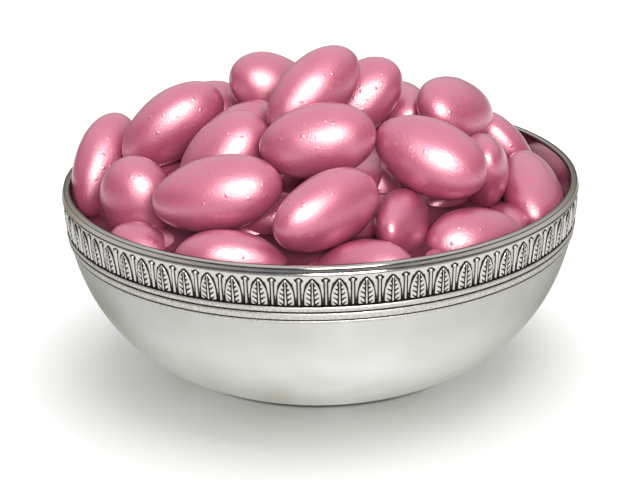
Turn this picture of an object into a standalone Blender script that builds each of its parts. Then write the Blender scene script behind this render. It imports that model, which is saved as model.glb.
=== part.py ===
"""Sugared almonds heaped in a small metal bowl with a band of upright leaves.

Metres, +Z up. The origin is the centre of the bowl's flat base.
"""
import math

import bmesh
import bpy
from mathutils import Matrix, Vector

MM = 0.001

# Bowl: one turned wall, 160 mm across the rim
RIM_RADIUS = 80.0 * MM
RIM_HEIGHT = 57.6 * MM
BELLY_DEPTH = 63.2 * MM
BELLY_POWER = 2.08
BELLY_ROUNDNESS = 0.326
WALL = 2.0 * MM
FLOOR = 2.0 * MM
BELLY_STEPS = 7
CROWDING = 1.6
LEAVES = 66

# Bead round the lip and two reeds under the leaf band, all measured from the rim plane
BEAD_RISE = 0.7 * MM
BEAD_FOOT = 1.2 * MM
BEAD_HALF_WIDTH = 1.2 * MM
BEAD_ANGLES = (-60, -20, 20, 60, 120, 180)
REED_EDGES = (11.5 * MM, 13.6 * MM, 16.2 * MM)
REED_PROUD = 0.35 * MM
FIELD_INSET = 0.45 * MM

# One leaf of the band, at its foot, its widest place and its tip:
# the drop from the rim plane, then the shares of the full width and of the full relief
LEAF_TURN = math.radians(0.65)
LEAF_WIDTH = 5.0 * MM
LEAF_PROUD = 0.75 * MM
LEAF_ROWS = ((11.2 * MM, 0.85, 0.9), (6.4 * MM, 1.0, 1.0), (2.9 * MM, 0.12, 0.2))
FIELD_TOP = 2.3 * MM

# Heap: a low dome that carries the almonds, kept off the bowl
GAP = 0.3 * MM
ALMOND_GAP = 0.5 * MM
DOME_TOP = 85.0 * MM
DOME_EDGE_HEIGHT = 50.0 * MM
DOME_EDGE_RADIUS = 66.0 * MM
DOME_POWER = 1.6
DOME_RINGS = (66.0 * MM, 52.0 * MM, 37.0 * MM, 21.0 * MM)
SHOULDER_HEIGHT = 45.0 * MM
UPPER_WALL_STEP = 6.0 * MM
CORE_STEPS = 6

# Almonds: thickness as a share of the width, how much fuller one end is,
# and how far the few-sided rings stand out so that their mean width is true
THICKNESS = 0.72
FULLER_END = 0.06
FACET_FULLNESS = 1.02
SIDES = 12
RINGS = 7

# The side that the photograph shows, one almond a row, in millimetres and degrees:
# x, y, z of the middle, then heading, pitch and spin, then length and width
NEAR_ALMONDS = (
    (-67.0, 2.0, 62.0, 59, 52, 61, 34.5, 20.5),
    (-45.0, -3.0, 76.0, 17, 31, 82, 36.0, 21.0),
    (-28.5, -27.5, 73.5, 16, 42, 62, 32.5, 21.0),
    (-54.0, -26.0, 58.0, 161, 73, -71, 31.5, 23.0),
    (-30.0, -46.0, 68.5, -1, 10, 66, 38.5, 22.0),
    (-0.5, -36.0, 80.5, 3, 8, 71, 34.5, 22.0),
    (1.5, -57.0, 66.5, 30, 15, 80, 35.0, 21.5),
    (-51.5, -41.0, 43.0, 153, 53, -65, 32.5, 21.0),
    (-26.0, -58.5, 51.0, 180, 7, -88, 33.5, 21.0),
    (-18.5, -39.5, 53.0, 17, 30, 58, 32.5, 21.0),
    (-12.5, 4.0, 84.0, -173, 32, -74, 32.5, 21.0),
    (-1.5, -17.5, 90.0, 29, 34, 73, 34.5, 20.5),
    (-37.5, 12.5, 73.5, 13, 16, 66, 32.5, 21.0),
    (-24.5, -11.5, 73.0, 19, 27, 81, 32.5, 21.0),
    (12.0, -4.5, 83.0, 17, 40, 61, 32.5, 20.0),
    (22.5, 9.5, 75.5, -64, 7, 40, 32.5, 21.0),
    (42.0, -2.5, 79.0, -146, 17, -50, 28.0, 21.0),
    (32.5, -34.5, 74.5, -14, -23, 58, 35.0, 22.5),
    (49.0, -18.0, 63.5, -86, 43, -83, 32.5, 21.0),
    (56.5, 9.5, 61.0, 170, 50, 58, 32.5, 21.0),
    (65.0, -13.5, 55.0, -83, -30, -31, 32.5, 21.0),
    (45.5, -43.5, 50.5, -159, 6, -68, 32.5, 21.0),
    (23.5, -46.0, 58.0, 73, -10, 79, 32.5, 20.0),
    (11.0, -64.5, 49.0, -16, 14, 80, 32.5, 21.0),
    (34.5, -1.0, 64.0, 15, 5, 0, 32.0, 20.5),
    (16.0, -20.0, 54.5, -156, 84, 52, 31.0, 20.0),
    (-45.5, -3.0, 55.0, 22, 1, 67, 31.0, 19.5),
)

# The far side, which the photograph hides, laid in two rings and a top in the same way
FAR_ALMONDS = (
    (41.5, 44.5, 54.0, 125, 0, -28, 32.0, 20.5),
    (14.5, 60.5, 56.0, 175, 6, -30, 33.0, 21.0),
    (-15.5, 59.5, 54.5, 28, -8, -30, 32.0, 21.0),
    (-42.5, 45.5, 54.0, 50, 10, -35, 33.0, 20.5),
    (-58.0, 20.0, 46.5, 75, -12, -35, 31.0, 20.0),
    (24.5, 34.5, 67.0, 140, -8, -30, 33.0, 21.0),
    (-1.0, 42.5, 71.0, 10, 8, -25, 32.0, 20.5),
    (-28.0, 34.0, 67.0, 60, 5, -30, 33.0, 21.0),
    (-1.5, 23.5, 78.0, 150, 5, -12, 32.0, 20.5),
    (-52.0, 29.0, 62.0, 100, 12, -30, 31.0, 20.0),
    (60.0, 29.0, 46.5, 118, 0, -25, 31.0, 20.0),
)


def clear_scene():
    for thing in list(bpy.data.objects):
        bpy.data.objects.remove(thing, do_unlink=True)


def polished_metal():
    """Silver-coloured metal with a faint warm grey sheen."""
    material = bpy.data.materials.new("bowl_metal")
    material.use_nodes = True
    shader = material.node_tree.nodes["Principled BSDF"]
    shader.inputs["Base Color"].default_value = (0.62, 0.63, 0.58, 1.0)
    shader.inputs["Metallic"].default_value = 1.0
    shader.inputs["Roughness"].default_value = 0.3
    return material


def pearly_sugar():
    """Rose sugar shell with a pearl finish."""
    material = bpy.data.materials.new("almond_sugar")
    material.use_nodes = True
    shader = material.node_tree.nodes["Principled BSDF"]
    shader.inputs["Base Color"].default_value = (0.62, 0.2, 0.3, 1.0)
    shader.inputs["Metallic"].default_value = 0.35
    shader.inputs["Roughness"].default_value = 0.32
    return material


def outer_radius(height):
    """Radius of the bowl's outer side at a height above the base."""
    depth = RIM_HEIGHT - height
    return RIM_RADIUS * (1 - (depth / BELLY_DEPTH) ** BELLY_POWER) ** BELLY_ROUNDNESS


def inner_radius(height):
    """Radius of the bowl's inner side, the outer curve raised by the floor and moved in by the wall."""
    return outer_radius(max(0.0, height - FLOOR)) - WALL


def around(radius, angle, height):
    """A point of the bowl; the angle is measured from the near side towards +X."""
    return Vector((radius * math.sin(angle), -radius * math.cos(angle), height))


def plain_ring(mesh, radius, height):
    """One vertex a leaf, on the rods between the leaves."""
    step = 2 * math.pi / LEAVES
    return [mesh.verts.new(around(radius, LEAF_TURN + k * step, height)) for k in range(LEAVES)]


def leaf_ring(mesh, drop, width_share, proud_share):
    """Four vertices a leaf: the rod, the leaf's edge, its raised midrib and its other edge."""
    height = RIM_HEIGHT - drop
    field = outer_radius(height) - FIELD_INSET
    step = 2 * math.pi / LEAVES
    half_leaf = 0.5 * LEAF_WIDTH * width_share / RIM_RADIUS
    ring = []
    for k in range(LEAVES):
        rod = LEAF_TURN + k * step
        middle = rod + step / 2
        ring.append(mesh.verts.new(around(field, rod, height)))
        ring.append(mesh.verts.new(around(field, middle - half_leaf, height)))
        ring.append(mesh.verts.new(around(field + LEAF_PROUD * proud_share, middle, height)))
        ring.append(mesh.verts.new(around(field, middle + half_leaf, height)))
    return ring


def join_rings(mesh, low, high):
    """Faces between two rings of like count, or between a plain ring and a leaf ring."""
    if len(low) == len(high):
        for k in range(len(low)):
            after = (k + 1) % len(low)
            mesh.faces.new((low[k], low[after], high[after], high[k]))
        return
    plain, leafy = (low, high) if len(low) < len(high) else (high, low)
    for k in range(LEAVES):
        here = plain[k]
        there = plain[(k + 1) % LEAVES]
        rod, edge, midrib, far_edge = leafy[4 * k:4 * k + 4]
        next_rod = leafy[(4 * k + 4) % len(leafy)]
        for corners in (
            (here, edge, rod),
            (here, midrib, edge),
            (here, there, midrib),
            (there, far_edge, midrib),
            (there, next_rod, far_edge),
        ):
            mesh.faces.new(corners)


def cap(mesh, ring, height):
    """Triangles from a ring to one point on the axis."""
    middle = mesh.verts.new((0, 0, height))
    for k in range(len(ring)):
        mesh.faces.new((ring[k], ring[(k + 1) % len(ring)], middle))


def wall_heights(top, count):
    """Heights from the floor up, closer together low down, where the wall curves most."""
    return [FLOOR + (top - FLOOR) * (k / count) ** CROWDING for k in range(count + 1)]


def outer_rings(mesh):
    """The bowl's outer side: belly, two reeds, leaf band and bead, from the base up."""
    rings = []
    band_foot = RIM_HEIGHT - REED_EDGES[2]
    for k in range(BELLY_STEPS + 1):
        height = band_foot * (k / BELLY_STEPS) ** CROWDING
        rings.append(plain_ring(mesh, outer_radius(height), height))
    for upper, lower in ((REED_EDGES[1], REED_EDGES[2]), (REED_EDGES[0], REED_EDGES[1])):
        for share in (0.25, 0.75):
            height = RIM_HEIGHT - lower + (lower - upper) * share
            rings.append(plain_ring(mesh, outer_radius(height) + REED_PROUD, height))
        height = RIM_HEIGHT - upper
        rings.append(plain_ring(mesh, outer_radius(height) - FIELD_INSET, height))
    for drop, width_share, proud_share in LEAF_ROWS:
        rings.append(leaf_ring(mesh, drop, width_share, proud_share))
    field_top = RIM_HEIGHT - FIELD_TOP
    rings.append(plain_ring(mesh, outer_radius(field_top) - FIELD_INSET, field_top))
    return rings


def bead_rings(mesh):
    """The rounded lip, from under its outer edge over the top to the inner edge."""
    middle = RIM_RADIUS - 0.5 * WALL
    half_height = 0.5 * (BEAD_RISE + BEAD_FOOT)
    centre = RIM_HEIGHT + 0.5 * (BEAD_RISE - BEAD_FOOT)
    rings = []
    for degrees in BEAD_ANGLES:
        angle = math.radians(degrees)
        radius = middle + BEAD_HALF_WIDTH * math.cos(angle)
        rings.append(plain_ring(mesh, radius, centre + half_height * math.sin(angle)))
    return rings


def build_bowl(material):
    mesh = bmesh.new()
    heights = wall_heights(SHOULDER_HEIGHT, CORE_STEPS) + [SHOULDER_HEIGHT + UPPER_WALL_STEP]
    inner = [plain_ring(mesh, inner_radius(h), h) for h in reversed(heights)]
    rings = outer_rings(mesh) + bead_rings(mesh) + inner
    for low, high in zip(rings, rings[1:]):
        join_rings(mesh, low, high)
    cap(mesh, rings[0], 0.0)
    cap(mesh, rings[-1], FLOOR)
    return finish_mesh("bowl", mesh, material)


def finish_mesh(name, mesh, material):
    """Turns a bmesh into a named object with outward faces and smooth shading."""
    bmesh.ops.triangulate(mesh, faces=mesh.faces)
    bmesh.ops.recalc_face_normals(mesh, faces=mesh.faces)
    data = bpy.data.meshes.new(name)
    mesh.to_mesh(data)
    mesh.free()
    data.shade_smooth()
    data.set_sharp_from_angle(angle=math.radians(35))
    data.materials.append(material)
    thing = bpy.data.objects.new(name, data)
    bpy.context.scene.collection.objects.link(thing)
    return thing


def dome_height(radius):
    """Height of the heap's carrying dome."""
    fall = (radius / DOME_EDGE_RADIUS) ** DOME_POWER
    return DOME_TOP - (DOME_TOP - DOME_EDGE_HEIGHT) * fall


def build_core(material):
    """The inside of the heap: it fills the bowl to the shoulder and ends in the dome."""
    mesh = bmesh.new()
    rings = []
    for height in wall_heights(SHOULDER_HEIGHT, CORE_STEPS):
        rings.append(plain_ring(mesh, inner_radius(height) - GAP, height + GAP))
    for radius in DOME_RINGS:
        rings.append(plain_ring(mesh, radius, dome_height(radius)))
    for low, high in zip(rings, rings[1:]):
        join_rings(mesh, low, high)
    cap(mesh, rings[0], FLOOR + GAP)
    cap(mesh, rings[-1], dome_height(0.0))
    return finish_mesh("almond_heap", mesh, material)


def almond_points(x, y, z, heading, pitch, spin, length, width):
    """Two end points and the rings between them, in place in the bowl."""
    turn = Matrix.Rotation(math.radians(heading), 3, "Z")
    turn = turn @ Matrix.Rotation(-math.radians(pitch), 3, "Y")
    turn = turn @ Matrix.Rotation(math.radians(spin), 3, "X")
    middle = Vector((x, y, z)) * MM
    ends = [middle + turn @ Vector((side * length * MM / 2, 0, 0)) for side in (-1, 1)]
    rings = []
    for k in range(1, RINGS):
        along = -math.cos(math.pi * k / RINGS)
        half_width = 0.5 * width * MM * FACET_FULLNESS * math.sin(math.pi * k / RINGS)
        half_width *= 1 + FULLER_END * along
        ring = []
        for i in range(SIDES):
            angle = 2 * math.pi * (i + 0.5 * (k % 2)) / SIDES
            across = half_width * math.cos(angle)
            through = half_width * THICKNESS * math.sin(angle)
            ring.append(middle + turn @ Vector((along * length * MM / 2, across, through)))
        rings.append(ring)
    return ends, rings


def step_clear_of_bowl(points):
    """How far the points reach into the clearance along the bowl's wall."""
    most = 0.0
    for point in points:
        if point.z < RIM_HEIGHT + BEAD_RISE:
            reach = math.hypot(point.x, point.y) - inner_radius(min(point.z, RIM_HEIGHT)) + ALMOND_GAP
            most = max(most, reach)
    return most


def build_almond(name, row):
    """One few-sided almond, moved towards the axis if it would touch the bowl."""
    ends, rings = almond_points(*row)
    points = ends + [point for ring in rings for point in ring]
    inward = Vector((-row[0], -row[1], 0)).normalized()
    for attempt in range(8):
        step = step_clear_of_bowl(points)
        for point in points:
            point += inward * step
    mesh = bmesh.new()
    circles = [[mesh.verts.new(point) for point in ring] for ring in rings]
    for low, high in zip(circles, circles[1:]):
        for i in range(SIDES):
            mesh.faces.new((low[i], low[(i + 1) % SIDES], high[(i + 1) % SIDES], high[i]))
    for end, circle in zip(ends, (circles[0], circles[-1])):
        tip = mesh.verts.new(end)
        for i in range(SIDES):
            mesh.faces.new((circle[i], circle[(i + 1) % SIDES], tip))
    return finish_mesh(name, mesh, bpy.data.materials["almond_sugar"])


def keep_largest_shell(thing):
    """Fills hollows sealed by fusing and drops loose scraps: only the outer shell stays."""
    mesh = bmesh.new()
    mesh.from_mesh(thing.data)
    waiting = set(mesh.verts)
    shells = []
    while waiting:
        shell = [waiting.pop()]
        for vertex in shell:
            for edge in vertex.link_edges:
                other = edge.other_vert(vertex)
                if other in waiting:
                    waiting.remove(other)
                    shell.append(other)
        shells.append(shell)
    shells.sort(key=len)
    for shell in shells[:-1]:
        bmesh.ops.delete(mesh, geom=shell, context="VERTS")
    bmesh.ops.triangulate(mesh, faces=mesh.faces)
    mesh.to_mesh(thing.data)
    mesh.free()


def build_heap(material):
    """Core and almonds fused into one solid."""
    heap = build_core(material)
    loose = bpy.data.collections.new("loose_almonds")
    bpy.context.scene.collection.children.link(loose)
    for k, row in enumerate(NEAR_ALMONDS + FAR_ALMONDS):
        almond = build_almond(f"almond_{k + 1}", row)
        bpy.context.scene.collection.objects.unlink(almond)
        loose.objects.link(almond)
    union = heap.modifiers.new("fuse", "BOOLEAN")
    union.operation = "UNION"
    union.operand_type = "COLLECTION"
    union.collection = loose
    fused = bpy.data.meshes.new_from_object(heap.evaluated_get(bpy.context.evaluated_depsgraph_get()))
    heap.modifiers.clear()
    heap.data = fused
    for almond in list(loose.objects):
        bpy.data.objects.remove(almond, do_unlink=True)
    bpy.data.collections.remove(loose)
    keep_largest_shell(heap)
    return heap


clear_scene()
build_bowl(polished_metal())
build_heap(pearly_sugar())
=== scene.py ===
"""Sugared almonds heaped in a small turned metal bowl with a band of upright leaves.

Blender works in metres, with +Z up. The object's own sizes are in millimetres, and MM turns
them into metres. The bowl stands on its flat base at the origin, as in the CAD model.
"""
import math
import random

import bpy
from mathutils import Matrix, Vector


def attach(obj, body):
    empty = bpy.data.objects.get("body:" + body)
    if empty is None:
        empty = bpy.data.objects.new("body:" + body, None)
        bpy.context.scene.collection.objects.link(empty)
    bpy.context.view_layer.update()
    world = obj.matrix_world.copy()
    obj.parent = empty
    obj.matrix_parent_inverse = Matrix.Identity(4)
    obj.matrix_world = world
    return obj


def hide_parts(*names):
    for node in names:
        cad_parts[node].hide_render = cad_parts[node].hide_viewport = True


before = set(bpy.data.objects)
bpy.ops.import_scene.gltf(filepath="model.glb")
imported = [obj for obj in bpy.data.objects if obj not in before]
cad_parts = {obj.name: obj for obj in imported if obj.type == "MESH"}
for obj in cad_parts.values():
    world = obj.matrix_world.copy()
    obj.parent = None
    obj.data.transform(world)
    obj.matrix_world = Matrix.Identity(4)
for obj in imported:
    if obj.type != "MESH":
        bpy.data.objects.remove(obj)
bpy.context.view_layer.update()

# The camera
# It looks down on the near rim by 21 degrees from about two thirds of a metre, through a
# short telephoto lens held a little out of level, so the right end of the rim stands higher.
view_distance = 0.646
view_drop = math.radians(20.96)
view_roll = math.radians(-1.29)
looked_at = Vector((-0.0005, 0, 0.0335))
forward = Vector((0, math.cos(view_drop), -math.sin(view_drop)))
level_right = Vector((1, 0, 0))
level_up = level_right.cross(forward)
camera_right = math.cos(view_roll) * level_right + math.sin(view_roll) * level_up
camera_up = camera_right.cross(forward)


def put_in_scene(name, data):
    """A new object that shows this data."""
    thing = bpy.data.objects.new(name, data)
    bpy.context.scene.collection.objects.link(thing)
    return thing


camera_data = bpy.data.cameras.new("camera")
camera_data.sensor_width = 36
camera_data.lens = 114.8
camera = put_in_scene("camera", camera_data)
camera_turn = Matrix((camera_right, camera_up, -forward)).transposed().to_4x4()
camera.matrix_world = Matrix.Translation(looked_at - view_distance * forward) @ camera_turn
bpy.context.scene.camera = camera
bpy.context.scene.view_settings.view_transform = "Standard"


# The table and the studio
# A wide sheet of matt white paper lies under the bowl, in a room white above, with dim warm
# walls and a cooler one behind the camera. A square window there lights the object, and a
# panel overhead and a weak fill light the paper alone, so it stays white with one soft shadow.
def colour(hex_code):
    """An sRGB hex code as linear red, green, blue and alpha."""
    parts = [int(hex_code[k:k + 2], 16) / 255 for k in (1, 3, 5)]
    linear = [p / 12.92 if p <= 0.04045 else ((p + 0.055) / 1.055) ** 2.4 for p in parts]
    return (*linear, 1.0)


def fill_inputs(tree, node, inputs):
    """Gives each input a plain value, or joins another node's output to it."""
    for key, value in inputs.items():
        if isinstance(value, bpy.types.NodeSocket):
            tree.links.new(value, node.inputs[key])
        else:
            node.inputs[key].default_value = value


def add_node(tree, kind, inputs=None, **settings):
    """Adds one node with its settings and fills its inputs."""
    node = tree.nodes.new(kind)
    for name, value in settings.items():
        setattr(node, name, value)
    fill_inputs(tree, node, inputs or {})
    return node


def start_material(name):
    """A new material, with its node tree and its shader."""
    material = bpy.data.materials.new(name)
    material.use_nodes = True
    return material, material.node_tree, material.node_tree.nodes["Principled BSDF"]


# A Mix node's two colours and its mixed colour have numbers, as its sockets share their names.
first_colour = 6
second_colour = 7
mixed_colour = 2

# Uncoated paper has no shine, so it stays even and takes only soft shadows.
paper, tree, shader = start_material("matt_white_paper")
fill_inputs(tree, shader, {
    "Base Color": colour("#F2F2F1"), "Roughness": 0.9, "Specular IOR Level": 0.2,
})

paper_half = 4.0
paper_level = -0.0003
paper_corners = ((-1, -1), (1, -1), (1, 1), (-1, 1))
paper_mesh = bpy.data.meshes.new("paper_table")
paper_mesh.from_pydata(
    [(x * paper_half, y * paper_half, paper_level) for x, y in paper_corners], [], [(0, 1, 2, 3)],
)
paper_mesh.materials.append(paper)
paper_table = put_in_scene("paper_table", paper_mesh)

room = bpy.data.worlds.new("white_room")
room.use_nodes = True
bpy.context.scene.world = room
tree = room.node_tree
direction = add_node(tree, "ShaderNodeTexCoord").outputs["Generated"]
up_and_back = add_node(
    tree, "ShaderNodeVectorMath", {0: direction, 1: (0.0, 0.24, 0.97)}, operation="DOT_PRODUCT",
)
brightness = add_node(
    tree, "ShaderNodeMapRange",
    {"Value": up_and_back.outputs["Value"], "From Min": 0.05, "From Max": 0.9},
    interpolation_type="SMOOTHSTEP",
)
straight_back = add_node(
    tree, "ShaderNodeVectorMath", {0: direction, 1: (0.0, 1.0, 0.0)}, operation="DOT_PRODUCT",
)
warmth = add_node(
    tree, "ShaderNodeMapRange",
    {"Value": straight_back.outputs["Value"], "From Min": -0.95, "From Max": -0.4},
    interpolation_type="SMOOTHSTEP",
)
wall_colour = add_node(
    tree, "ShaderNodeMix",
    {"Factor": warmth.outputs["Result"], first_colour: colour("#41475A"),
     second_colour: colour("#4A3626")},
    data_type="RGBA",
)
room_colour = add_node(
    tree, "ShaderNodeMix",
    {"Factor": brightness.outputs["Result"], first_colour: wall_colour.outputs[mixed_colour],
     second_colour: colour("#FFFFFF")},
    data_type="RGBA",
)
fill_inputs(tree, tree.nodes["Background"], {
    "Color": room_colour.outputs[mixed_colour], "Strength": 1.22,
})

heap_middle = Vector((0, 0, 0.06))


def soft_light(name, azimuth, elevation, distance, size, power, tint):
    """A square soft light aimed at the heap; azimuth 0 is the camera's side, 90 is +X."""
    data = bpy.data.lights.new(name, "AREA")
    data.shape = "SQUARE"
    data.size = size
    data.energy = power
    data.color = colour(tint)[:3]
    turn = math.radians(azimuth)
    rise = math.radians(elevation)
    away = Vector((
        math.sin(turn) * math.cos(rise), -math.cos(turn) * math.cos(rise), math.sin(rise),
    ))
    light = put_in_scene(name, data)
    light.location = heap_middle + distance * away
    light.rotation_euler = away.to_track_quat("Z", "Y").to_euler()
    return light


window = soft_light(
    "window_by_the_camera", azimuth=10, elevation=28, distance=1.44, size=0.68, power=28.0,
    tint="#FFFAEE",
)
panel = soft_light(
    "panel_over_the_paper", azimuth=150, elevation=78, distance=1.5, size=1.4, power=17.0,
    tint="#FFFFFF",
)
fill = soft_light(
    "fill_on_the_paper", azimuth=10, elevation=35, distance=1.5, size=1.0, power=1.5,
    tint="#FFFFFF",
)
off_the_paper = bpy.data.collections.new("kept_off_the_paper")
off_the_paper.objects.link(paper_table)
window.light_linking.receiver_collection = off_the_paper
off_the_paper.collection_objects[0].light_linking.link_state = "EXCLUDE"
on_the_paper = bpy.data.collections.new("on_the_paper_alone")
on_the_paper.objects.link(paper_table)
panel.light_linking.receiver_collection = on_the_paper
fill.light_linking.receiver_collection = on_the_paper

# The bowl's wall
# One sheet of metal, spun over a former and silver plated, rubbed to a satin finish outside
# and left bright inside. The upper 17 mm are drawn in to seat the band and the lip.
MM = 0.001
rim_radius = 80.0
rim_height = 57.6
curve_height = 63.2
curve_roundness = 2.08
curve_fullness = 0.326
wall_thickness = 2.0
floor_thickness = 2.0
base_radii = (0, 20, 38, 44.6)
floor_radii = (36, 18, 0)
band_foot = 16.9
seat_drops = (band_foot, 14.0, 11.0, 8.0, 5.0, 3.0, 1.0)
seat_depth = 0.9
edge_drop = 0.2
edge_inset = 1.0

# Rings lie closer together low down, where the wall curves most.
outer_steps = 32
inner_steps = 36
crowding = 1.7
segments = 264
sharp_edge = math.radians(40)


def outer_radius(height):
    """Radius of the bowl's outer side at a height above the table, in millimetres."""
    raised = 1 - ((rim_height - height) / curve_height) ** curve_roundness
    return rim_radius * raised ** curve_fullness


def inner_radius(height):
    """Radius of the inner side, which is the outer curve raised by the floor's thickness."""
    return outer_radius(max(0.0, height - floor_thickness)) - wall_thickness


def bowl_point(radius, angle, height):
    """A point in metres, from a radius and a height in millimetres; angle 0 is the front."""
    return (radius * math.sin(angle) * MM, -radius * math.cos(angle) * MM, height * MM)


def turned(name, profile, mark=None, closed=False):
    """Turns a profile of (radius, height) in millimetres round the bowl's axis.

    Where a mark is named, each point is (radius, height, value), and the mesh keeps the
    values as an attribute of that name.
    """
    points = []
    marks = []
    rings = []
    for radius, height, *value in profile:
        count = 1 if radius == 0 else segments
        rings.append(range(len(points), len(points) + count))
        for k in range(count):
            points.append(bowl_point(radius, 2 * math.pi * k / segments, height))
        marks += value * count
    pairs = list(zip(rings, rings[1:]))
    if closed:
        pairs.append((rings[-1], rings[0]))
    faces = []
    for low, high in pairs:
        for k in range(segments):
            after = (k + 1) % segments
            if len(low) == 1:
                faces.append((low[0], high[after], high[k]))
            elif len(high) == 1:
                faces.append((low[k], low[after], high[0]))
            else:
                faces.append((low[k], low[after], high[after], high[k]))
    data = bpy.data.meshes.new(name)
    data.from_pydata(points, [], faces)
    if mark:
        data.attributes.new(mark, "FLOAT", "POINT").data.foreach_set("value", marks)
    data.shade_smooth()
    data.set_sharp_from_angle(angle=sharp_edge)
    return put_in_scene(name, data)


wall_profile = [(radius, 0, 0) for radius in base_radii]
for k in range(outer_steps + 1):
    height = (rim_height - band_foot) * (k / outer_steps) ** crowding
    wall_profile.append((outer_radius(height), height, 0))
for drop in seat_drops:
    height = rim_height - drop
    wall_profile.append((outer_radius(height) - seat_depth, height, 0))
wall_profile.append((rim_radius - edge_inset, rim_height - edge_drop, 0))
for k in range(inner_steps + 1):
    depth = (rim_height - edge_drop - floor_thickness) * (1 - k / inner_steps) ** crowding
    height = floor_thickness + depth
    wall_profile.append((inner_radius(height), height, 1))
wall_profile += [(radius, floor_thickness, 1) for radius in floor_radii]
bowl_wall = turned("bowl_wall", wall_profile, "inside")

# Satin silver plate was rubbed round with fine grit, so its grain runs round the bowl and
# draws highlights out into soft upright streaks. Handling leaves warm and cool clouds about
# 26 mm across. The grain, really finer than 0.1 mm, is drawn at 0.6 mm so that it shows.
satin_silver, tree, shader = start_material("satin_silver_plate")
place = add_node(tree, "ShaderNodeTexCoord")
turning_place = add_node(
    tree, "ShaderNodeMapping", {"Vector": place.outputs["Object"], "Scale": (9, 9, 1600)},
)
turning = add_node(
    tree, "ShaderNodeTexNoise",
    {"Vector": turning_place.outputs["Vector"], "Scale": 1.0, "Detail": 3.0},
)
clouding = add_node(
    tree, "ShaderNodeTexNoise",
    {"Vector": place.outputs["Object"], "Scale": 38.0, "Detail": 2.0, "Distortion": 0.4},
)
cloud_tint = add_node(
    tree, "ShaderNodeMix",
    {"Factor": clouding.outputs["Fac"], first_colour: colour("#AFAEA3"),
     second_colour: colour("#CDD0D1")},
    data_type="RGBA",
)
satin_grain = add_node(
    tree, "ShaderNodeMapRange",
    {"Value": clouding.outputs["Fac"], "From Min": 0.3, "From Max": 0.7, "To Min": 0.4,
     "To Max": 0.5},
)
turning_relief = add_node(
    tree, "ShaderNodeBump",
    {"Strength": 0.06, "Distance": 0.0002, "Height": turning.outputs["Fac"]},
)
round_the_axis = add_node(tree, "ShaderNodeTangent", direction_type="RADIAL", axis="Z")
fill_inputs(tree, shader, {
    "Metallic": 1.0, "Specular Tint": colour("#969590"),
    "Base Color": cloud_tint.outputs[mixed_colour], "Roughness": satin_grain.outputs["Result"],
    "Normal": turning_relief.outputs["Normal"], "Anisotropic": 0.4,
    "Anisotropic Rotation": 0.25, "Tangent": round_the_axis.outputs["Tangent"],
})
bowl_wall.data.materials.append(satin_silver)

# Bright silver plate was left as it was rolled, so it mirrors the almonds beside it, a
# little blurred by smears about 17 mm across.
bright_silver, tree, shader = start_material("bright_rolled_silver_plate")
place = add_node(tree, "ShaderNodeTexCoord")
smears = add_node(
    tree, "ShaderNodeTexNoise",
    {"Vector": place.outputs["Object"], "Scale": 60.0, "Detail": 2.0},
)
smear_tint = add_node(
    tree, "ShaderNodeMix",
    {"Factor": smears.outputs["Fac"], first_colour: colour("#E4E2DE"),
     second_colour: colour("#F2F1EE")},
    data_type="RGBA",
)
smear_rough = add_node(
    tree, "ShaderNodeMapRange",
    {"Value": smears.outputs["Fac"], "From Min": 0.3, "From Max": 0.7, "To Min": 0.1,
     "To Max": 0.18},
)
fill_inputs(tree, shader, {
    "Metallic": 1.0, "Base Color": smear_tint.outputs[mixed_colour],
    "Roughness": smear_rough.outputs["Result"],
})
bowl_wall.data.materials.append(bright_silver)
inside_marks = bowl_wall.data.attributes["inside"].data
for face in bowl_wall.data.polygons:
    face.material_index = int(all(inside_marks[k].value > 0.5 for k in face.vertices))
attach(bowl_wall, "root")
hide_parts("bowl")

# The two reeds under the leaves
# A drawn strip with two rounded reeds and a fine lower edge, bent round the bowl and
# soldered on. The reeds are burnished and dark patina is left in the grooves beside them.
strip_top = 11.4
strip_foot = 17.0
strip_sunk = 1.3
groove_depth = 0.28
reed_roundness = 0.6
reed_steps = 8
reed_tarnish = 0.17
tarnish_fall = 1.25

# Each reed's upper and lower edge, as drops below the rim, and how far it stands proud.
reeds = ((11.5, 13.2, 0.38), (13.5, 15.75, 0.42), (16.05, 16.95, 0.16))

reed_profile = [(outer_radius(rim_height - strip_top) - strip_sunk, rim_height - strip_top, 1)]
for upper, lower, proud in reeds:
    for k in range(reed_steps + 1):
        turn = math.pi * k / reed_steps
        drop = 0.5 * (upper + lower) - 0.5 * (lower - upper) * math.cos(turn)
        raised = math.sin(turn) ** reed_roundness
        swell = (proud + groove_depth) * raised
        radius = outer_radius(rim_height - drop) - groove_depth + swell
        tarnished = max(reed_tarnish, 1 - tarnish_fall * raised)
        reed_profile.append((radius, rim_height - drop, tarnished))
reed_profile.append(
    (outer_radius(rim_height - strip_foot) - strip_sunk, rim_height - strip_foot, 1)
)
reed_profile.reverse()
reed_strip = turned("reed_strip", reed_profile, "tarnish", closed=True)

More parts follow.
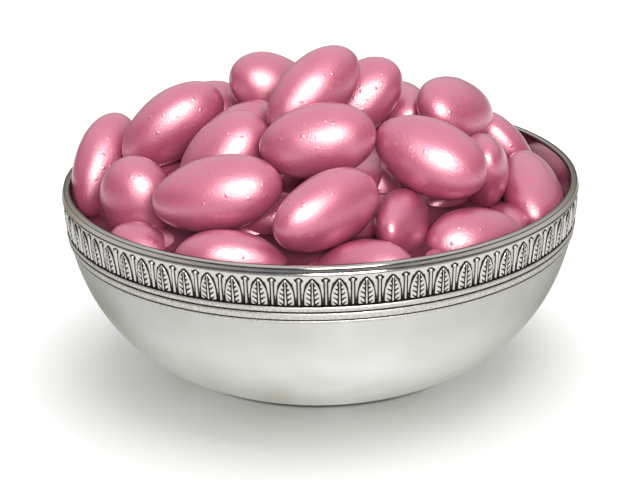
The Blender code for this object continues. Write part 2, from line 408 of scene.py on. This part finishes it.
# Burnished silver plate with patina: oxide was brushed over the relief and rubbed off its
# raised parts, so these shine and each groove stays a dull brown-black line. The patina's
# mottling, really about 0.1 mm, is drawn at 0.8 mm so that it shows.
chased_silver, tree, shader = start_material("burnished_silver_dark_in_the_grooves")
place = add_node(tree, "ShaderNodeTexCoord")
tarnish = add_node(tree, "ShaderNodeAttribute", attribute_name="tarnish")
mottling = add_node(
    tree, "ShaderNodeTexNoise",
    {"Vector": place.outputs["Object"], "Scale": 1300.0, "Detail": 2.0},
)
uneven_tarnish = add_node(
    tree, "ShaderNodeMath", {0: mottling.outputs["Fac"], 1: 0.3, 2: -0.15},
    operation="MULTIPLY_ADD",
)
tarnish_sum = add_node(
    tree, "ShaderNodeMath", {0: tarnish.outputs["Fac"], 1: uneven_tarnish.outputs["Value"]},
    operation="ADD",
)
darkness = add_node(
    tree, "ShaderNodeMapRange",
    {"Value": tarnish_sum.outputs["Value"], "From Min": 0.08, "From Max": 0.45},
    interpolation_type="SMOOTHSTEP",
)
patina_tint = add_node(
    tree, "ShaderNodeMix",
    {"Factor": darkness.outputs["Result"], first_colour: colour("#CAC9C5"),
     second_colour: colour("#1E1A17")},
    data_type="RGBA",
)
patina_rough = add_node(
    tree, "ShaderNodeMapRange",
    {"Value": darkness.outputs["Result"], "To Min": 0.36, "To Max": 0.7},
)
patina_metal = add_node(
    tree, "ShaderNodeMapRange",
    {"Value": darkness.outputs["Result"], "To Min": 1.0, "To Max": 0.4},
)
fill_inputs(tree, shader, {
    "Specular Tint": colour("#969590"), "Base Color": patina_tint.outputs[mixed_colour],
    "Roughness": patina_rough.outputs["Result"], "Metallic": patina_metal.outputs["Result"],
})
reed_strip.data.materials.append(chased_silver)
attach(reed_strip, "root")

# The leaf band
# A strip of gallery wire, rolled with 66 upright leaves and a pearl-topped rod between each
# pair, soldered round under the lip, with dark patina rubbed into its grooves.
leaf_count = 66
first_rod = math.radians(0.645)
half_pitch = math.pi * rim_radius / leaf_count
field_level = -0.45
buried_level = -1.2

# The leaf is a pointed arch that swells from its edge to a low crown at the midrib. Down to
# straight_from its outline slants, so a distance across is longer than one square to it.
leaf_tip = 3.05
leaf_foot = 11.3
leaf_half_width = 2.53
arch_drop = 6.0
arch_point = 2.2
arch_fullness = 0.75
tip_margin = 0.1
swell_width = 0.55
swell_height = 0.32
crown_height = 0.16
outline_half = 0.26
outline_depth = 0.22
outline_fade = 0.2
straight_from = 7
tip_slope = 0.55
slope_gain = 0.45

# The midrib widens downwards, with a chased line on each side.
rib_top = 3.7
rib_growth_drop = 7
rib_half = 0.13
rib_gain = 0.12
rib_height = 0.16
rib_line_gap = 0.2
rib_line_half = 0.25
rib_line_depth = 0.26
rib_line_fade = 0.4

# A row is one vein cut, which rises outwards: the drop where it leaves the midrib, and its
# reach.
vein_cuts = ((5.2, 0.6), (6.6, 0.95), (8.15, 1.35), (9.7, 1.5), (11.2, 1.5))
cut_gap = 0.1
cut_rise = 0.8
cut_bend = 0.15
cut_half = 0.36
cut_narrowing = 0.08
cut_depth = 0.24
cut_full_to = 0.8
cut_end = 1.15
cut_fade = 0.35

# The rod is half round with a groove on each side, and a pearl in a ring stands on its top.
rod_top = 4.0
rod_half = 0.28
rod_height = 0.42
rod_groove_place = 0.5
rod_groove_half = 0.25
rod_groove_depth = 0.18
pearl_drop = 3.5
pearl_radius = 0.54
pearl_height = 0.55
pearl_ring = 0.7
pearl_ring_half = 0.2
pearl_ring_depth = 0.16
pearl_ring_foot = 4.1

# Patina thickens towards the foot beside each rod, and fills the lines above and below.
patina_top = 6.5
patina_gain = 0.13
patina_most = 0.65
patina_off_rod = 0.3
foot_line_half = 0.4
foot_line_depth = 0.2
top_line = 1.9
top_line_half = 0.2


def arch_half_width(drop):
    """Half the width of a leaf's pointed arch at a drop below the rim."""
    down = min(max((drop - leaf_tip) / arch_drop, 0.0), 1.0)
    return leaf_half_width * (1 - (1 - down) ** arch_point) ** arch_fullness


def line_depth(distance, half_width):
    """1 in the middle of a chased line, falling smoothly to 0 at its edges."""
    return max(0.0, 1 - (distance / half_width) ** 2) ** 1.5


def rounded(distance, radius):
    """1 on top of a half-round wire or ball, falling to 0 at its sides."""
    return (1 - (distance / radius) ** 2) ** 0.5


def leaf_relief(across, drop):
    """Height over the bowl's curve and darkness, one leaf's width, across from its midrib."""
    across = abs(across)
    rod_distance = half_pitch - across
    arch = arch_half_width(drop)
    level = field_level
    dark = 0.0
    in_leaf = leaf_tip + tip_margin < drop < leaf_foot and across < arch
    if in_leaf:
        swell = min(1.0, (arch - across) / swell_width)
        level += swell_height * swell ** 0.5 + crown_height * (1 - across / leaf_half_width)
    if drop > leaf_tip - outline_fade:
        slope = 1.0
        if drop <= straight_from:
            slope = tip_slope + slope_gain * (drop - leaf_tip) / (straight_from - leaf_tip)
        edge = line_depth((across - arch) * slope, outline_half)
        edge *= min(1.0, (drop - leaf_tip + outline_fade) / outline_fade)
        level -= outline_depth * edge
        dark = max(dark, edge)
    if in_leaf and drop > rib_top:
        rib = rib_half + rib_gain * min(1.0, (drop - rib_top) / rib_growth_drop)
        if across < rib:
            level += rib_height * (1 - (across / rib) ** 2)
        beside = line_depth(across - rib - rib_line_gap, rib_line_half)
        beside *= min(1.0, (drop - rib_top) / rib_line_fade)
        level -= rib_line_depth * beside
        dark = max(dark, beside)
        for foot, reach in vein_cuts:
            run = (across - rib - cut_gap) / reach
            if 0 <= run <= cut_end:
                rise = cut_rise * reach * run - cut_bend * run * run
                cut = line_depth(drop - (foot - rise), cut_half - cut_narrowing * run)
                cut *= 1 if run < cut_full_to else max(0.0, (cut_end - run) / cut_fade)
                level -= cut_depth * cut
                dark = max(dark, cut)
    if drop > rod_top:
        if rod_distance < rod_half:
            level += rod_height * rounded(rod_distance, rod_half)
        groove = line_depth(rod_distance - rod_groove_place, rod_groove_half)
        level -= rod_groove_depth * groove
        dark = max(dark, groove)
    pearl = math.hypot(rod_distance, drop - pearl_drop)
    if pearl < pearl_radius:
        level = field_level + pearl_height * rounded(pearl, pearl_radius)
        dark = 0.0
    elif drop < pearl_ring_foot:
        ring = line_depth(pearl - pearl_ring, pearl_ring_half)
        level -= pearl_ring_depth * ring
        dark = max(dark, ring)
    if across > arch and rod_distance > patina_off_rod and drop > patina_top:
        dark = max(dark, min(patina_most, patina_gain * (drop - patina_top)))
    foot_line = line_depth(drop - leaf_foot, foot_line_half)
    level -= foot_line_depth * foot_line
    dark = max(dark, foot_line, line_depth(drop - top_line, top_line_half))
    return level, dark


# Columns crowd at the midrib, the outline and the rod, and six lie across the veins.
rib_columns = [0, 0.2, 0.4]
rod_columns = (0.7, 0.48, 0.3, 0.14, 0.0)
vein_steps = 5
first_vein_column = 0.62
last_vein_column = 0.42
outline_columns = 0.22
least_arch = 1.25


def column_places(drop):
    """Distances from the midrib of one half leaf's columns, which follow the arch."""
    arch = max(arch_half_width(drop), least_arch)
    vein_width = arch - last_vein_column - first_vein_column
    places = rib_columns + [
        first_vein_column + vein_width * k / vein_steps for k in range(vein_steps + 1)
    ]
    places += [arch - outline_columns, arch, arch + outline_columns]
    places.append(0.5 * (arch + outline_columns + half_pitch - rod_columns[0]))
    return places + [half_pitch - distance for distance in rod_columns]


plain_rows = [1.1, 1.45, 1.95]
first_leaf_row = 2.3
leaf_row_step = 0.271
leaf_rows = 35
band_drops = plain_rows + [first_leaf_row + leaf_row_step * k for k in range(leaf_rows)]

# The first and last rows are buried in the wall, and one face between them closes the back.
cell_points = []
cell_darkness = []
cell_rows = []
for row, drop in enumerate([band_drops[0]] + band_drops + [band_drops[-1]]):
    buried = row in (0, len(band_drops) + 1)
    height = rim_height - drop
    places = column_places(drop)
    cell_rows.append([])
    for across in [-p for p in reversed(places[1:])] + places:
        level, dark = leaf_relief(across, drop)
        if buried:
            level = buried_level
        cell_rows[-1].append(len(cell_points))
        cell_points.append(bowl_point(outer_radius(height) + level, across / rim_radius, height))
        cell_darkness.append(dark)
cell_faces = []
for upper, lower in zip(cell_rows, cell_rows[1:]):
    for k in range(len(upper) - 1):
        cell_faces.append((upper[k], lower[k], lower[k + 1], upper[k + 1]))
cell_faces.append(tuple(cell_rows[0] + cell_rows[-1][::-1]))

leaf_band_mesh = bpy.data.meshes.new("leaf_band")
leaf_band_mesh.from_pydata(cell_points, [], cell_faces)
cell_tarnish = leaf_band_mesh.attributes.new("tarnish", "FLOAT", "POINT")
cell_tarnish.data.foreach_set("value", cell_darkness)
leaf_band_mesh.shade_smooth()
leaf_band = put_in_scene("leaf_band", leaf_band_mesh)


def start_tree(name, inputs):
    """A Geometry Nodes tree that takes a mesh and the named inputs, each of the kind given."""
    tree = bpy.data.node_groups.new(name, "GeometryNodeTree")
    tree.interface.new_socket("Geometry", in_out="OUTPUT", socket_type="NodeSocketGeometry")
    for input_name, kind in {"Geometry": "Geometry", **inputs}.items():
        tree.interface.new_socket(input_name, in_out="INPUT", socket_type="NodeSocket" + kind)
    return tree


def run_tree(piece, tree, values):
    """Runs a tree on a piece with values for its named inputs and keeps the result as its mesh."""
    modifier = piece.modifiers.new(tree.name, "NODES")
    modifier.node_group = tree
    for socket in tree.interface.items_tree:
        if socket.in_out == "INPUT" and socket.name in values:
            modifier[socket.identifier] = values[socket.name]
    result = piece.evaluated_get(bpy.context.evaluated_depsgraph_get())
    made = bpy.data.meshes.new_from_object(result)
    piece.modifiers.remove(modifier)
    made.name = piece.name
    piece.data = made


ring_tree = start_tree("leaves_round_the_rim", {
    "Leaves": "Int", "First rod": "Float", "Join within": "Float",
})
given = add_node(ring_tree, "NodeGroupInput")
centres = add_node(ring_tree, "GeometryNodePoints", {"Count": given.outputs["Leaves"]})
step = add_node(
    ring_tree, "ShaderNodeMath", {0: 2 * math.pi, 1: given.outputs["Leaves"]}, operation="DIVIDE",
)
number = add_node(ring_tree, "GeometryNodeInputIndex")
between_rods = add_node(
    ring_tree, "ShaderNodeMath", {0: number.outputs["Index"], 1: 0.5}, operation="ADD",
)
leaf_angle = add_node(
    ring_tree, "ShaderNodeMath",
    {0: between_rods.outputs["Value"], 1: step.outputs["Value"], 2: given.outputs["First rod"]},
    operation="MULTIPLY_ADD",
)
leaf_euler = add_node(ring_tree, "ShaderNodeCombineXYZ", {"Z": leaf_angle.outputs["Value"]})
leaf_turn = add_node(
    ring_tree, "FunctionNodeEulerToRotation", {"Euler": leaf_euler.outputs["Vector"]},
)
leaves = add_node(
    ring_tree, "GeometryNodeInstanceOnPoints",
    {"Points": centres.outputs[0], "Instance": given.outputs["Geometry"],
     "Rotation": leaf_turn.outputs["Rotation"]},
)
real_leaves = add_node(
    ring_tree, "GeometryNodeRealizeInstances", {"Geometry": leaves.outputs["Instances"]},
)
joined = add_node(
    ring_tree, "GeometryNodeMergeByDistance",
    {"Geometry": real_leaves.outputs["Geometry"], "Distance": given.outputs["Join within"]},
)
dressed = add_node(
    ring_tree, "GeometryNodeSetMaterial",
    {"Geometry": joined.outputs["Geometry"], "Material": chased_silver},
)
add_node(ring_tree, "NodeGroupOutput", {"Geometry": dressed.outputs["Geometry"]})
run_tree(leaf_band, ring_tree, {
    "Leaves": leaf_count, "First rod": first_rod, "Join within": 0.00001,
})
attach(leaf_band, "root")

# The lip
# A heavy drawn wire with a rounded top, a sloping front and a bead along its lower edge,
# soldered over the edge of the wall and polished bright.
lip_section = (
    (-1.0, -1.95), (-0.2, -1.93), (0.06, -1.88), (0.22, -1.78), (0.29, -1.66), (0.29, -1.56),
    (0.24, -1.46), (0.1, -1.24), (0.07, -1.12), (0.0, -0.75), (-0.07, -0.37), (-0.14, 0.0),
    (-0.21, 0.28), (-0.36, 0.45), (-0.66, 0.55), (-1.0, 0.64), (-1.4, 0.69), (-1.75, 0.68),
    (-2.05, 0.58), (-2.24, 0.42), (-2.3, 0.2), (-2.28, -0.2), (-2.16, -0.7), (-1.9, -1.0),
)
lip_profile = [(rim_radius + outwards, rim_height + upwards) for outwards, upwards in lip_section]
lip = turned("lip_wire", lip_profile, closed=True)

# Polished silver plate was buffed to a mirror, so it shows the room in clear dark and light
# lines, with duller finger marks about 4 mm apart.
polished_silver, tree, shader = start_material("polished_silver_plate")
place = add_node(tree, "ShaderNodeTexCoord")
handling = add_node(
    tree, "ShaderNodeTexNoise",
    {"Vector": place.outputs["Object"], "Scale": 260.0, "Detail": 3.0},
)
polish = add_node(
    tree, "ShaderNodeMapRange",
    {"Value": handling.outputs["Fac"], "From Min": 0.3, "From Max": 0.7, "To Min": 0.1,
     "To Max": 0.17},
)
fill_inputs(tree, shader, {
    "Base Color": colour("#A9A6A0"), "Metallic": 1.0, "Specular Tint": colour("#A8A39C"),
    "Roughness": polish.outputs["Result"],
})
lip.data.materials.append(polished_silver)
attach(lip, "root")

# The almonds that show
# Whole almonds turned in a pan until a hard sugar shell has built up, then coated with a
# pearl-pigmented rose glaze. They lie loose on each other, above and against the rim.
almond_thickness = 0.72

# A row is one almond: its centre's x, y and z, its heading, pitch and spin in degrees, and
# its length and width. The last eleven rows are the far side, which the photograph hides.
almonds_that_show = (
    (-67, 2, 62, 59, 52, 61, 34.5, 20.5), (-45, -3, 76, 17, 31, 82, 36, 21),
    (-28.5, -27.5, 73.5, 16, 42, 62, 32.5, 21), (-54, -26, 58, 161, 73, -71, 31.5, 23),
    (-30, -46, 68.5, -1, 10, 66, 38.5, 22), (-0.5, -36, 80.5, 3, 8, 71, 34.5, 22),
    (1.5, -57, 66.5, 30, 15, 80, 35, 21.5), (-51.5, -41, 43, 153, 53, -65, 32.5, 21),
    (-26, -58.5, 51, 180, 7, -88, 33.5, 21), (-18.5, -39.5, 53, 17, 30, 58, 32.5, 21),
    (-12.5, 4, 84, -173, 32, -74, 32.5, 21), (-1.5, -17.5, 90, 29, 34, 73, 34.5, 20.5),
    (-37.5, 12.5, 73.5, 13, 16, 66, 32.5, 21), (-24.5, -11.5, 73, 19, 27, 81, 32.5, 21),
    (12, -4.5, 83, 17, 40, 61, 32.5, 20), (22.5, 9.5, 75.5, -64, 7, 40, 32.5, 21),
    (42, -2.5, 79, -146, 17, -50, 28, 21), (32.5, -34.5, 74.5, -14, -23, 58, 35, 22.5),
    (49, -18, 63.5, -86, 43, -83, 32.5, 21), (56.5, 9.5, 61, 170, 50, 58, 32.5, 21),
    (65, -13.5, 55, -83, -30, -31, 32.5, 21), (45.5, -43.5, 50.5, -159, 6, -68, 32.5, 21),
    (23.5, -46, 58, 73, -10, 79, 32.5, 20), (11, -64.5, 49, -16, 14, 80, 32.5, 21),
    (34.5, -1, 64, 15, 5, 0, 32, 20.5), (16, -20, 54.5, -156, 84, 52, 31, 20),
    (-45.5, -3, 55, 22, 1, 67, 31, 19.5), (41.5, 44.5, 54, 125, 0, -28, 32, 20.5),
    (14.5, 60.5, 56, 175, 6, -30, 33, 21), (-15.5, 59.5, 54.5, 28, -8, -30, 32, 21),
    (-42.5, 45.5, 54, 50, 10, -35, 33, 20.5), (-58, 20, 46.5, 75, -12, -35, 31, 20),
    (24.5, 34.5, 67, 140, -8, -30, 33, 21), (-1, 42.5, 71, 10, 8, -25, 32, 20.5),
    (-28, 34, 67, 60, 5, -30, 33, 21), (-1.5, 23.5, 78, 150, 5, -12, 32, 20.5),
    (-52, 29, 62, 100, 12, -30, 31, 20), (60, 29, 46.5, 118, 0, -25, 31, 20),
)

heap_tree = start_tree("almonds_in_place", {
    "Faces an edge": "Int", "Fuller end": "Float", "Lump height": "Float",
    "Lumps a metre": "Float", "Coat": "Material",
})
given = add_node(heap_tree, "NodeGroupInput")
corners = add_node(
    heap_tree, "ShaderNodeMath", {0: given.outputs["Faces an edge"], 1: 1.0}, operation="ADD",
)
block = add_node(
    heap_tree, "GeometryNodeMeshCube",
    {"Size": (2, 2, 2), "Vertices X": corners.outputs["Value"],
     "Vertices Y": corners.outputs["Value"], "Vertices Z": corners.outputs["Value"]},
)
spot = add_node(heap_tree, "GeometryNodeInputPosition")
on_ball = add_node(
    heap_tree, "ShaderNodeVectorMath", {0: spot.outputs["Position"]}, operation="NORMALIZE",
)
ball = add_node(
    heap_tree, "GeometryNodeSetPosition",
    {"Geometry": block.outputs["Mesh"], "Position": on_ball.outputs["Vector"]},
)
along = add_node(heap_tree, "ShaderNodeSeparateXYZ", {"Vector": spot.outputs["Position"]})
fullness = add_node(
    heap_tree, "ShaderNodeMath",
    {0: along.outputs["X"], 1: given.outputs["Fuller end"], 2: 1.0}, operation="MULTIPLY_ADD",
)
shares = add_node(
    heap_tree, "ShaderNodeCombineXYZ",
    {"X": 1.0, "Y": fullness.outputs["Value"], "Z": fullness.outputs["Value"]},
)
egg_place = add_node(
    heap_tree, "ShaderNodeVectorMath",
    {0: spot.outputs["Position"], 1: shares.outputs["Vector"]}, operation="MULTIPLY",
)
egg = add_node(
    heap_tree, "GeometryNodeSetPosition",
    {"Geometry": ball.outputs["Geometry"], "Position": egg_place.outputs["Vector"]},
)
turn_read = add_node(
    heap_tree, "GeometryNodeInputNamedAttribute", {"Name": "turn"}, data_type="FLOAT_VECTOR",
)
size_read = add_node(
    heap_tree, "GeometryNodeInputNamedAttribute", {"Name": "size"}, data_type="FLOAT_VECTOR",
)
almond_turn = add_node(
    heap_tree, "FunctionNodeEulerToRotation", {"Euler": turn_read.outputs["Attribute"]},
)
placed = add_node(
    heap_tree, "GeometryNodeInstanceOnPoints",
    {"Points": given.outputs["Geometry"], "Instance": egg.outputs["Geometry"],
     "Rotation": almond_turn.outputs["Rotation"], "Scale": size_read.outputs["Attribute"]},
)
real_almonds = add_node(
    heap_tree, "GeometryNodeRealizeInstances", {"Geometry": placed.outputs["Instances"]},
)
lumps = add_node(
    heap_tree, "ShaderNodeTexNoise",
    {"Vector": spot.outputs["Position"], "Scale": given.outputs["Lumps a metre"], "Detail": 1.0},
)
lump_share = add_node(
    heap_tree, "ShaderNodeMath", {0: lumps.outputs["Fac"], 1: 2.0, 2: -1.0},
    operation="MULTIPLY_ADD",
)
lump_height = add_node(
    heap_tree, "ShaderNodeMath", {0: lump_share.outputs["Value"], 1: given.outputs["Lump height"]},
    operation="MULTIPLY",
)
facing = add_node(heap_tree, "GeometryNodeInputNormal")
lump_offset = add_node(
    heap_tree, "ShaderNodeVectorMath",
    {0: facing.outputs["Normal"], "Scale": lump_height.outputs["Value"]}, operation="SCALE",
)
panned = add_node(
    heap_tree, "GeometryNodeSetPosition",
    {"Geometry": real_almonds.outputs["Geometry"], "Offset": lump_offset.outputs["Vector"]},
)
smooth = add_node(heap_tree, "GeometryNodeSetShadeSmooth", {"Geometry": panned.outputs["Geometry"]})
coated = add_node(
    heap_tree, "GeometryNodeSetMaterial",
    {"Geometry": smooth.outputs["Geometry"], "Material": given.outputs["Coat"]},
)
add_node(heap_tree, "NodeGroupOutput", {"Geometry": coated.outputs["Geometry"]})

# Pearl-glazed sugar was built up in a turning pan, so the shell is smooth but finely pitted,
# with a stray crystal here and there. Mica in the rose glaze gives it a metal-like sheen
# under a clear gloss. The pits, really about 0.2 mm, are drawn at 0.4 mm so that they show.
pearled_sugar, tree, shader = start_material("pearled_sugar_shell")
place = add_node(tree, "ShaderNodeTexCoord")
grain = add_node(
    tree, "ShaderNodeTexNoise",
    {"Vector": place.outputs["Object"], "Scale": 2700.0, "Detail": 2.0, "Roughness": 0.6},
)
crystals = add_node(
    tree, "ShaderNodeTexVoronoi", {"Vector": place.outputs["Object"], "Scale": 450.0},
)
crystal_shape = add_node(
    tree, "ShaderNodeMapRange",
    {"Value": crystals.outputs["Distance"], "From Min": 0.0, "From Max": 0.3, "To Min": 1.0,
     "To Max": 0.0},
    interpolation_type="SMOOTHSTEP",
)
crystal_draw = add_node(tree, "ShaderNodeSeparateColor", {"Color": crystals.outputs["Color"]})
crystal_share = add_node(
    tree, "ShaderNodeMapRange",
    {"Value": crystal_draw.outputs["Red"], "From Min": 0.5, "From Max": 1.0, "To Min": 0.0,
     "To Max": 3.4},
)
shell_height = add_node(
    tree, "ShaderNodeMath",
    {0: crystal_shape.outputs["Result"], 1: crystal_share.outputs["Result"],
     2: grain.outputs["Fac"]},
    operation="MULTIPLY_ADD",
)
blotches = add_node(
    tree, "ShaderNodeTexNoise",
    {"Vector": place.outputs["Object"], "Scale": 130.0, "Detail": 2.0},
)
glaze_tint = add_node(
    tree, "ShaderNodeMix",
    {"Factor": blotches.outputs["Fac"], first_colour: colour("#A54869"),
     second_colour: colour("#B15676")},
    data_type="RGBA",
)
glaze_rough = add_node(
    tree, "ShaderNodeMapRange",
    {"Value": grain.outputs["Fac"], "From Min": 0.3, "From Max": 0.7, "To Min": 0.36,
     "To Max": 0.46},
)
shell_relief = add_node(
    tree, "ShaderNodeBump",
    {"Strength": 0.18, "Distance": 0.0005, "Height": shell_height.outputs["Value"]},
)
fill_inputs(tree, shader, {
    "Base Color": glaze_tint.outputs[mixed_colour], "Metallic": 0.4,
    "Roughness": glaze_rough.outputs["Result"], "Normal": shell_relief.outputs["Normal"],
    "Coat Weight": 1.0, "Coat Roughness": 0.28, "Coat IOR": 1.9,
    "Coat Normal": shell_relief.outputs["Normal"],
})


def scatter(name, rows):
    """A piece with one point an almond, which carries that almond's turn and half sizes."""
    data = bpy.data.meshes.new(name)
    data.from_pydata([[distance * MM for distance in row[:3]] for row in rows], [], [])
    turns = data.attributes.new("turn", "FLOAT_VECTOR", "POINT")
    sizes = data.attributes.new("size", "FLOAT_VECTOR", "POINT")
    for k, row in enumerate(rows):
        heading, pitch, spin, length, width = row[3:]
        turns.data[k].vector = (math.radians(spin), math.radians(-pitch), math.radians(heading))
        half_width = 0.5 * width * MM
        sizes.data[k].vector = (0.5 * length * MM, half_width, half_width * almond_thickness)
    return put_in_scene(name, data)


# An almond is 6% fuller towards one end and 6% slimmer towards the other. Its shell has lumps
# of up to 0.28 mm, about 13 mm apart.
almond_shell = {
    "Fuller end": 0.06, "Lump height": 0.00028, "Lumps a metre": 75.0, "Coat": pearled_sugar,
}
top_almonds = scatter("top_almonds", almonds_that_show)
run_tree(top_almonds, heap_tree, {"Faces an edge": 18, **almond_shell})
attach(top_almonds, "root")
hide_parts("almond_heap")

# The almonds underneath
# The same almonds in two deeper layers, laid in rings that follow the heap's dome. They show
# only through the gaps between the upper ones.
under_top = 70.0
under_fall = 24.0
under_reach = 59
under_slope = 1.7
under_length = 31.5
under_width = 20.4
ring_start = 0.3
ring_stagger = 0.15
ring_lean = 0.37

# A row is one ring: its radius, its number of almonds, how much deeper it lies than the
# dome, and each almond's slant in degrees.
under_rings = (
    (0, 1, 0, 30), (21, 5, 0, 40), (41, 8, 0, 8), (59, 12, 0, 5),
    (10, 3, 15, 30), (31, 6, 15, 20), (50, 10, 15, 5),
)
chance = random.Random(4)


def loosely(most):
    """A small random change, up to the given amount either way."""
    return chance.uniform(-most, most)


under_rows = []
for ring_radius, almonds, deeper, slant in under_rings:
    fall = under_fall * (ring_radius / under_reach) ** under_slope
    for k in range(almonds):
        angle = 2 * math.pi * (k + ring_start + ring_stagger * ring_radius) / almonds
        angle += loosely(0.05)
        radius = ring_radius + loosely(1)
        height = under_top - fall - deeper + loosely(1.2)
        heading = math.degrees(angle) + slant + loosely(12)
        pitch = loosely(10)
        spin = loosely(15) - ring_lean * ring_radius
        under_rows.append((
            radius * math.sin(angle), -radius * math.cos(angle), height, heading, pitch, spin,
            under_length, under_width,
        ))
under_almonds = scatter("under_almonds", under_rows)
run_tree(under_almonds, heap_tree, {"Faces an edge": 11, **almond_shell})
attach(under_almonds, "root")

# The bed of the heap
# The rest of the almonds, deep in the bowl where little light comes, as one closed bed that
# fills the bowl from its floor to the layer underneath. Its dark colour is painted shade.
bed_top = 66.0
bed_edge = 47.0
bed_radius = 74.0
bed_slope = 1.6
bed_clearance = 0.4
side_steps = 15
top_steps = 11

bed_profile = [(0, floor_thickness + bed_clearance)]
for k in range(side_steps + 1):
    height = floor_thickness + (bed_edge - floor_thickness) * (k / side_steps) ** crowding
    bed_profile.append((inner_radius(height) - bed_clearance, height + bed_clearance))
for k in range(top_steps + 1):
    radius = bed_radius * (1 - k / top_steps)
    fall = (bed_top - bed_edge) * (radius / bed_radius) ** bed_slope
    bed_profile.append((radius, bed_top - fall))
heap_bed = turned("heap_bed", bed_profile)

# The same sugar shell deep between its neighbours, without gloss. Its colour is painted shade:
# dark maroon, darker towards the edges of patches about as wide as an almond.
painted_shade_sugar, tree, shader = start_material("sugar_shell_painted_shade")
place = add_node(tree, "ShaderNodeTexCoord")
painted_shade_patches = add_node(
    tree, "ShaderNodeTexVoronoi", {"Vector": place.outputs["Object"], "Scale": 60.0},
)
painted_shade_tint = add_node(
    tree, "ShaderNodeMix",
    {"Factor": painted_shade_patches.outputs["Distance"], first_colour: colour("#7A3A50"),
     second_colour: colour("#4A1E30")},
    data_type="RGBA",
)
fill_inputs(tree, shader, {
    "Base Color": painted_shade_tint.outputs[mixed_colour], "Roughness": 0.6, "Specular IOR Level": 0.1,
})
heap_bed.data.materials.append(painted_shade_sugar)
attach(heap_bed, "root")

# The glow of the table
# The photographed bowl mirrors a bright table with no shadow under it. A round soft light flat
# on the paper stands for that and lights the metal alone, so the paper keeps its shadow.
glow_data = bpy.data.lights.new("glow_of_the_table", "AREA")
glow_data.shape = "DISK"
glow_data.size = 0.17
glow_data.energy = 0.06
glow = put_in_scene("glow_of_the_table", glow_data)
glow.location = (0, -0.01, 0.0005)
glow.rotation_euler = (math.pi, 0, 0)
glow.visible_camera = False
on_the_metal = bpy.data.collections.new("on_the_metal_alone")
for piece in (bowl_wall, reed_strip, leaf_band, lip):
    on_the_metal.objects.link(piece)
glow.light_linking.receiver_collection = on_the_metal
